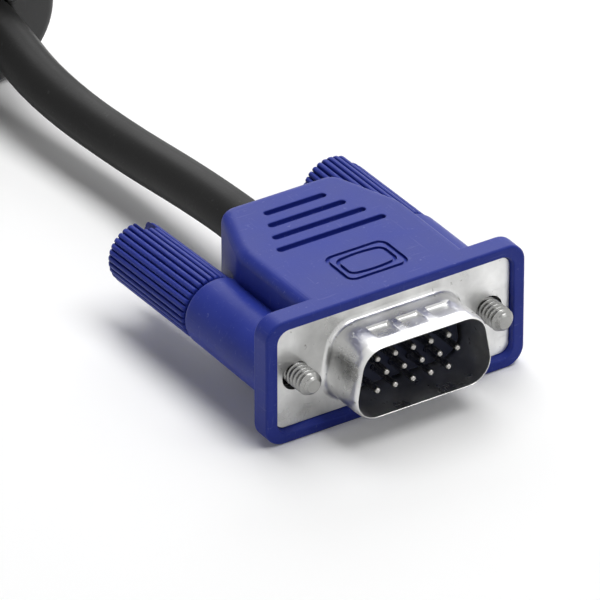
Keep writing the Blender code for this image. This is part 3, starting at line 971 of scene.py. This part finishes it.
def jackscrewMesh():
    s = screw
    sides, rows = 48, 110
    turns = [2 * math.pi * k / sides for k in range(sides)]
    crest, root, pitch = s["threadRadius"], s["rootRadius"], s["threadPitch"]
    rings = []
    for i in range(rows + 1):
        y = s["tip"] + (s["threadEnd"] - s["tip"]) * i / rows
        chamfer = root - 0.26 + (y - s["tip"])
        fade = ease((s["threadEnd"] - y) / 0.5)
        ring = []
        for k, angle in enumerate(turns):
            phase = (y / pitch - k / sides) % 1
            ridge = min(1.0, max(0.0, 1.35 * (1 - abs(2 * phase - 1)) - 0.12))
            radius = root + (crest - root) * ridge
            radius = min(crest, chamfer, radius) if fade > 0.999 else crest + (radius - crest) * fade
            ring.append((radius * math.cos(angle), y, radius * math.sin(angle)))
        rings.append(ring)
    neck, neckFront, neckBack = s["neck"]
    shank = [(crest, neckFront), (neck, neckFront), (neck, neckBack), (crest, neckBack), (crest, s["back"])]
    for radius, y in shank:
        rings.append([(radius * math.cos(angle), y, radius * math.sin(angle)) for angle in turns])
    tip = [(0.5 * x, y, 0.5 * z) for x, y, z in rings[0]]
    return finished(loft([tip, *rings]), 50)


def ringMesh():
    inner, outer, front, back = screw["ring"]
    profile = [(inner, front + 0.08), (inner + 0.08, front), (outer - 0.1, front), (outer, front + 0.1)]
    profile += [(radius, front + back - y) for radius, y in reversed(profile)]
    return finished(loft(turnedRings(profile, 48), ringed=True), 40)


def knobMesh(slotTurn):
    s = screw
    steps, edge = 10, 0.75
    length = s["knobBack"] - s["knobFront"]
    stations = [(0, -0.35), (0.12, -0.1), (0.3, 0)] + [(length * i / 8, 0) for i in range(1, 8)]
    for a in (0.0, 0.35, 0.7, 1.05, 1.35, 1.57):
        stations.append((length - edge + edge * math.sin(a), -edge + edge * math.cos(a)))
    rings = []
    for along, inset in stations:
        share = along / length
        ring = []
        for i in range(s["flutes"] * steps):
            angle = 2 * math.pi * i / (s["flutes"] * steps)
            across = abs(2 * (i / steps % 1) - 1)
            crown = (1 - across**2.6) ** 0.5
            radius = s["knobRadius"] + share * (s["knobRearRadius"] - s["knobRadius"]) + inset
            radius -= s["fluteDepth"] * (1 - crown)
            ring.append((radius * math.cos(angle), s["knobFront"] + along, radius * math.sin(angle)))
        rings.append(ring)
    knob = loft(rings)
    knob = carved(knob, loft(turnedRings([(1.5, 16.0), (1.5, 26.4)], 32)))
    back = s["knobBack"]
    slot = slab([roundedBox(s["slotWidth"], 10, 0.2, 2)], back - s["slotDepth"], back + 2, "Y")
    slot = beveled(slot, 0.15, 2)
    slot.data.transform(Matrix.Rotation(math.radians(slotTurn), 4, "Y"))
    return finished(carved(knob, slot), 40)


# The ferrite sleeve.

sleeve = {
    "radius": 9.0,
    "bore": 2.9,
    "length": 28,
    "edge": 1.3,
    "seamTurn": 24,       # degrees from +X towards +Z
    "seamWidth": 0.5,
    "seamDepth": 0.22,
}


def sleeveMesh():
    s = sleeve
    r, b, n, e = s["radius"], s["bore"], s["length"], s["edge"]
    profile = [(b, 0.9), (b + 0.12, 0.3), (b + 0.5, 0.0)]
    profile += [(b + 0.5 + (r - e - b - 0.5) * i / 6, 0.0) for i in range(1, 7)]
    profile += [(r - e + e * math.sin(a), e - e * math.cos(a)) for a in quarterTurn]
    profile += [(r, e + (n - 2 * e) * i / 6) for i in range(1, 6)]
    profile += [(r - e + e * math.cos(a), n - e + e * math.sin(a)) for a in (0.0, *quarterTurn)]
    profile += [(b + 0.5, n), (b + 0.12, n - 0.3), (b, n - 0.9)]
    seam = math.radians(s["seamTurn"])
    turns = []
    for start in (seam, seam + math.pi):
        turns += [start + offset * 0.012 for offset in range(-8, 9)]
        turns += [start + 0.12 + (math.pi - 0.24) * i / 34 for i in range(1, 34)]
    turns.sort()
    rings = []
    for radius, y in profile:
        ring = []
        for angle in turns:
            away = abs((angle - seam + math.pi / 2) % math.pi - math.pi / 2) * max(radius, 3.0)
            sunk = s["seamDepth"] * max(0.0, 1 - (2 * away / s["seamWidth"]) ** 2)
            onFront, onBack = y < e and radius < r - 0.2, y > n - e and radius < r - 0.2
            inset = 0 if onFront or onBack else sunk
            place = y + (sunk if onFront else 0) - (sunk if onBack else 0)
            ring.append(((radius - inset) * math.cos(angle), place, (radius - inset) * math.sin(angle)))
        rings.append(ring)
    return finished(loft(rings, ringed=True), 40)


# The strap round the hank.

strap = {"width": 8.0, "thick": 0.9, "corner": 1.5, "tab": (0.5, 0.35)}


def strapMesh(low, high):
    # A band round the hank, with the overlapping end of its fabric on one side.
    half, thick, corner = strap["width"] / 2, strap["thick"], strap["corner"]
    tabThick, tabInset = strap["tab"]
    width, height = high.x - low.x, high.z - low.z
    middle = Vector(((low.x + high.x) / 2, (low.y + high.y) / 2, (low.z + high.z) / 2))
    outer = roundedBox(width, height, corner, 8)
    inner = roundedBox(width - 2 * thick, height - 2 * thick, corner - thick, 8)
    band = beveled(slab([outer, inner], -half, half, "Y"), 0.22, 3, 60)
    side = -width / 2 + 0.02
    tab = slab([roundedBox(tabThick, height * 0.55, 0.24, 4)], -half + tabInset, half - tabInset, "Y")
    band = fused(band, shifted(beveled(tab, 0.12, 2, 60), side + 0.16, 0, 0.6))
    return finished(shifted(band, *middle), 40)


# Putting the two plugs together.

knobSlots = {"left_near": 12, "right_near": 40, "left_far": 75, "right_far": -25}  # degrees
leans = {"left_near": (-0.9, 1.0)}  # degrees about X and Z: this screw lies a little askew in its bore
leanPivot = (0, 10, 0)


def leaning(mesh, turns):
    pivot = Vector(leanPivot) * mm
    aboutX, aboutZ = (Matrix.Rotation(math.radians(a), 4, axis) for a, axis in zip(turns, "XZ"))
    mesh = mesh.copy()
    mesh.transform(Matrix.Translation(pivot) @ aboutX @ aboutZ @ Matrix.Translation(-pivot))
    return mesh


def buildPlug(end, zero, meshes):
    made = {}

    def put(name, mesh, material, nodes, body, at=(0, 0, 0)):
        made[name] = addPiece(f"{name}_{end}", mesh, material, nodes, body, zero + Vector(at))

    put("plugHood", meshes["hood"], hoodBlue, [f"hood_{end}"], "cable")
    put("plugShell", meshes["shell"], shellNickel, [f"front_shell_{end}"], "cable")
    put("plugBlock", meshes["block"], insulatorPaintedShade, [f"insulator_{end}"], "cable")
    if end == "near":
        for i, (x, z) in enumerate(pinPlaces(), 1):
            nodes = [f"pin_{i:02d}_near"]
            put(f"pin{i:02d}", meshes["pin"], pinPlatingPaintedShade, nodes, "cable", (x, 0, z))
    else:
        nodes = [f"pin_{i:02d}_far" for i in range(1, 16)]
        put("pins", meshes["pins"], pinPlatingPaintedShade, nodes, "cable")
    for side, sign in (("left", -1), ("right", 1)):
        at = (sign * hood["screwHalf"], 0, 0)
        where = f"{side}_{end}"
        body, ring = f"thumbscrew_{where}", f"ring_{where}"
        turns = leans.get(where, (0, 0))
        steel = leaning(meshes["screw"], turns)
        knob = leaning(knobMesh(knobSlots[where]), turns)
        put(f"steelScrew_{side}", steel, screwNickel, [f"jackscrew_{where}"], body, at)
        nodes = [f"retaining_ring_{where}"]
        put(f"retainingRing_{side}", meshes["ring"], screwNickel, nodes, ring, at)
        put(f"thumbKnob_{side}", knob, hoodBlue, [f"thumb_knob_{where}"], body, at)
    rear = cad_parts[f"rear_shell_{end}"]
    rear.data.materials.clear()
    rear.data.materials.append(shellNickel)
    print(end, "plug built")
    return made


meshes = {
    "hood": hoodMesh(),
    "shell": frontShellMesh(),
    "block": insulatorMesh(),
    "pin": pinMesh(),
    "pins": pinMesh(pinPlaces()),
    "screw": jackscrewMesh(),
    "ring": ringMesh(),
}
buildPlug("near", nearPlug, meshes)
farPieces = buildPlug("far", farPlug, meshes)

sleevePiece = addPiece(
    "ferriteSleeve", sleeveMesh(), sleeveBlack,
    ["ferrite_sleeve"], "cable", cable["sleeveFront"],
)
strapLow, strapHigh = (Vector(corner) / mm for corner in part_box("hank_strap"))
strapPiece = addPiece(
    "hankStrap", strapMesh(strapLow, strapHigh), strapLoops,
    ["hank_strap"], "cable",
)
print("sleeve and strap built")

# Floor, world and lamps.

studio = {
    "worldStrength": 0.10,
    "key": {"place": (0.20, 0.05, 0.92), "size": (1.3, 0.5), "power": 9.9},
    "back": {"place": (0.50, 0.80, 0.58), "size": (0.8, 0.5), "power": 3.2},
    "fill": {"place": (-0.75, -0.55, 0.55), "size": (0.5, 0.5), "power": 0.25},
    "aim": (0, 0.01, 0.01),
    "floorColor": 0.92,
    "floorGlow": 0.06,
    "floorSize": 3,
    "floorDrop": 0.00002,
}


def shownRays(tree):
    # Rays that meet the pale background itself: the camera's, and those that metal and gloss send back.
    rays = tree.nodes.new("ShaderNodeLightPath").outputs
    shown = mathNode(tree, "MAXIMUM", rays["Is Camera Ray"], rays["Is Glossy Ray"])
    return mathNode(tree, "MAXIMUM", shown, rays["Is Transmission Ray"])


def addFloor():
    mesh = bpy.data.meshes.new("floor")
    bm = bmesh.new()
    bmesh.ops.create_grid(bm, x_segments=2, y_segments=2, size=studio["floorSize"])
    bm.to_mesh(mesh)
    bm.free()
    material = bpy.data.materials.new("floorWhite")
    material.use_nodes = True
    tree = material.node_tree
    shader = tree.nodes["Principled BSDF"]
    shader.inputs["Base Color"].default_value = (studio["floorColor"],) * 3 + (1,)
    shader.inputs["Roughness"].default_value = 0.9
    shader.inputs["Specular IOR Level"].default_value = 0.0
    lit = mathNode(tree, "MULTIPLY", shownRays(tree), studio["floorGlow"])
    shader.inputs["Emission Color"].default_value = (1, 1, 1, 1)
    tree.links.new(lit, shader.inputs["Emission Strength"])
    mesh.materials.append(material)
    floor = bpy.data.objects.new("floor", mesh)
    floor.location = (0, 0, -studio["floorDrop"])
    bpy.context.scene.collection.objects.link(floor)


def addWorld():
    world = bpy.data.worlds.new("studio")
    world.use_nodes = True
    tree = world.node_tree
    back = tree.nodes["Background"]
    back.inputs["Color"].default_value = (1, 1, 1, 1)
    white = mathNode(tree, "MULTIPLY", shownRays(tree), 1 - studio["worldStrength"])
    tree.links.new(mathNode(tree, "ADD", white, studio["worldStrength"]), back.inputs["Strength"])
    bpy.context.scene.world = world


def addLamp(name, look):
    data = bpy.data.lights.new(name, "AREA")
    data.shape = "RECTANGLE"
    data.size, data.size_y = look["size"]
    data.energy = look["power"]
    lamp = bpy.data.objects.new(name, data)
    lamp.location = look["place"]
    aim = Vector(studio["aim"]) - lamp.location
    lamp.rotation_euler = aim.to_track_quat("-Z", "Y").to_euler()
    bpy.context.scene.collection.objects.link(lamp)


addFloor()
addWorld()
addLamp("keyLamp", studio["key"])
addLamp("backLamp", studio["back"])
addLamp("fillLamp", studio["fill"])
bpy.context.scene.view_settings.view_transform = "Standard"
bpy.context.view_layer.update()
print("studio ready")
